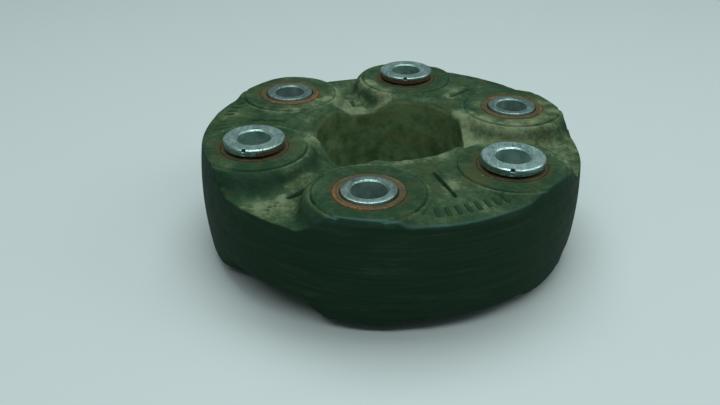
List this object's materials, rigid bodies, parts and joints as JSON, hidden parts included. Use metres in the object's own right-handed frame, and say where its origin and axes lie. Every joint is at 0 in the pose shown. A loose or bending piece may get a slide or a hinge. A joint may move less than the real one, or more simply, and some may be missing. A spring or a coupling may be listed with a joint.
{
  "type": "flexible disc coupling",
  "caption": "Rubber-and-cord flexible disc that joins two shaft flanges through bolt sleeves set alternately in its two faces, with thick and thin sections between them.",
  "frame": {"origin": "centre of the disc, on the shaft axis at the mid-plane", "axes": "+Z along the shaft axis towards the driven flange; the first driving sleeve stands at -Y"},
  "size_m": [0.1436, 0.1436, 0.0476],
  "materials": {
    "rubber": "matt, dusty, olive-black",
    "zinc_steel": "zinc plated, scratched",
    "rusty_steel": "surface rust",
    "nylon": "matt",
    "cord": "rubberised polyester cord"
  },
  "bodies": {
    "flexible_ring": {"rubber_body": "rubber", "cord_loop_middle_1": "cord", "cord_loop_middle_2": "cord", "cord_loop_middle_3": "cord", "cord_loop_upper_1": "cord", "cord_loop_upper_2": "cord", "cord_loop_upper_3": "cord", "cord_loop_lower_1": "cord", "cord_loop_lower_2": "cord", "cord_loop_lower_3": "cord"},
    "driving_bushes": {"driving_sleeve_1": "zinc_steel", "driving_collar_upper_1": "rusty_steel", "driving_collar_lower_1": "rusty_steel", "driving_spacer_upper_1": "nylon", "driving_spacer_lower_1": "nylon", "driving_sleeve_2": "zinc_steel", "driving_collar_upper_2": "rusty_steel", "driving_collar_lower_2": "rusty_steel", "driving_spacer_upper_2": "nylon", "driving_spacer_lower_2": "nylon", "driving_sleeve_3": "zinc_steel", "driving_collar_upper_3": "rusty_steel", "driving_collar_lower_3": "rusty_steel", "driving_spacer_upper_3": "nylon", "driving_spacer_lower_3": "nylon"},
    "driven_bush_1": {"driven_sleeve_1": "zinc_steel", "driven_collar_upper_1": "rusty_steel", "driven_collar_lower_1": "rusty_steel", "driven_spacer_upper_1": "nylon", "driven_spacer_lower_1": "nylon"},
    "driven_bush_2": {"driven_sleeve_2": "zinc_steel", "driven_collar_upper_2": "rusty_steel", "driven_collar_lower_2": "rusty_steel", "driven_spacer_upper_2": "nylon", "driven_spacer_lower_2": "nylon"},
    "driven_bush_3": {"driven_sleeve_3": "zinc_steel", "driven_collar_upper_3": "rusty_steel", "driven_collar_lower_3": "rusty_steel", "driven_spacer_upper_3": "nylon", "driven_spacer_lower_3": "nylon"}
  },
  "joints": [
    {"name": "wind_up", "type": "hinge", "parent": "flexible_ring", "child": "driving_bushes", "pos_m": [0, 0, 0], "axis": [0, 0, 1], "range_deg": [-3, 3], "stiffness_Nm_per_rad": 50, "deforming": ["rubber_body", "cord_loop_middle_1", "cord_loop_middle_2", "cord_loop_middle_3", "cord_loop_upper_1", "cord_loop_upper_2", "cord_loop_upper_3", "cord_loop_lower_1", "cord_loop_lower_2", "cord_loop_lower_3"]},
    {"name": "axial_give_1", "type": "slide", "parent": "flexible_ring", "child": "driven_bush_1", "axis": [0, 0, 1], "range_m": [-0.0015, 0.0015], "stiffness_N_per_m": 8000, "deforming": ["rubber_body", "cord_loop_middle_1", "cord_loop_middle_2", "cord_loop_middle_3", "cord_loop_upper_1", "cord_loop_upper_2", "cord_loop_upper_3", "cord_loop_lower_1", "cord_loop_lower_2", "cord_loop_lower_3"]},
    {"name": "axial_give_2", "type": "slide", "parent": "flexible_ring", "child": "driven_bush_2", "axis": [0, 0, 1], "range_m": [-0.0015, 0.0015], "stiffness_N_per_m": 8000, "deforming": ["rubber_body", "cord_loop_middle_1", "cord_loop_middle_2", "cord_loop_middle_3", "cord_loop_upper_1", "cord_loop_upper_2", "cord_loop_upper_3", "cord_loop_lower_1", "cord_loop_lower_2", "cord_loop_lower_3"]},
    {"name": "axial_give_3", "type": "slide", "parent": "flexible_ring", "child": "driven_bush_3", "axis": [0, 0, 1], "range_m": [-0.0015, 0.0015], "stiffness_N_per_m": 8000, "deforming": ["rubber_body", "cord_loop_middle_1", "cord_loop_middle_2", "cord_loop_middle_3", "cord_loop_upper_1", "cord_loop_upper_2", "cord_loop_upper_3", "cord_loop_lower_1", "cord_loop_lower_2", "cord_loop_lower_3"]}
  ]
}
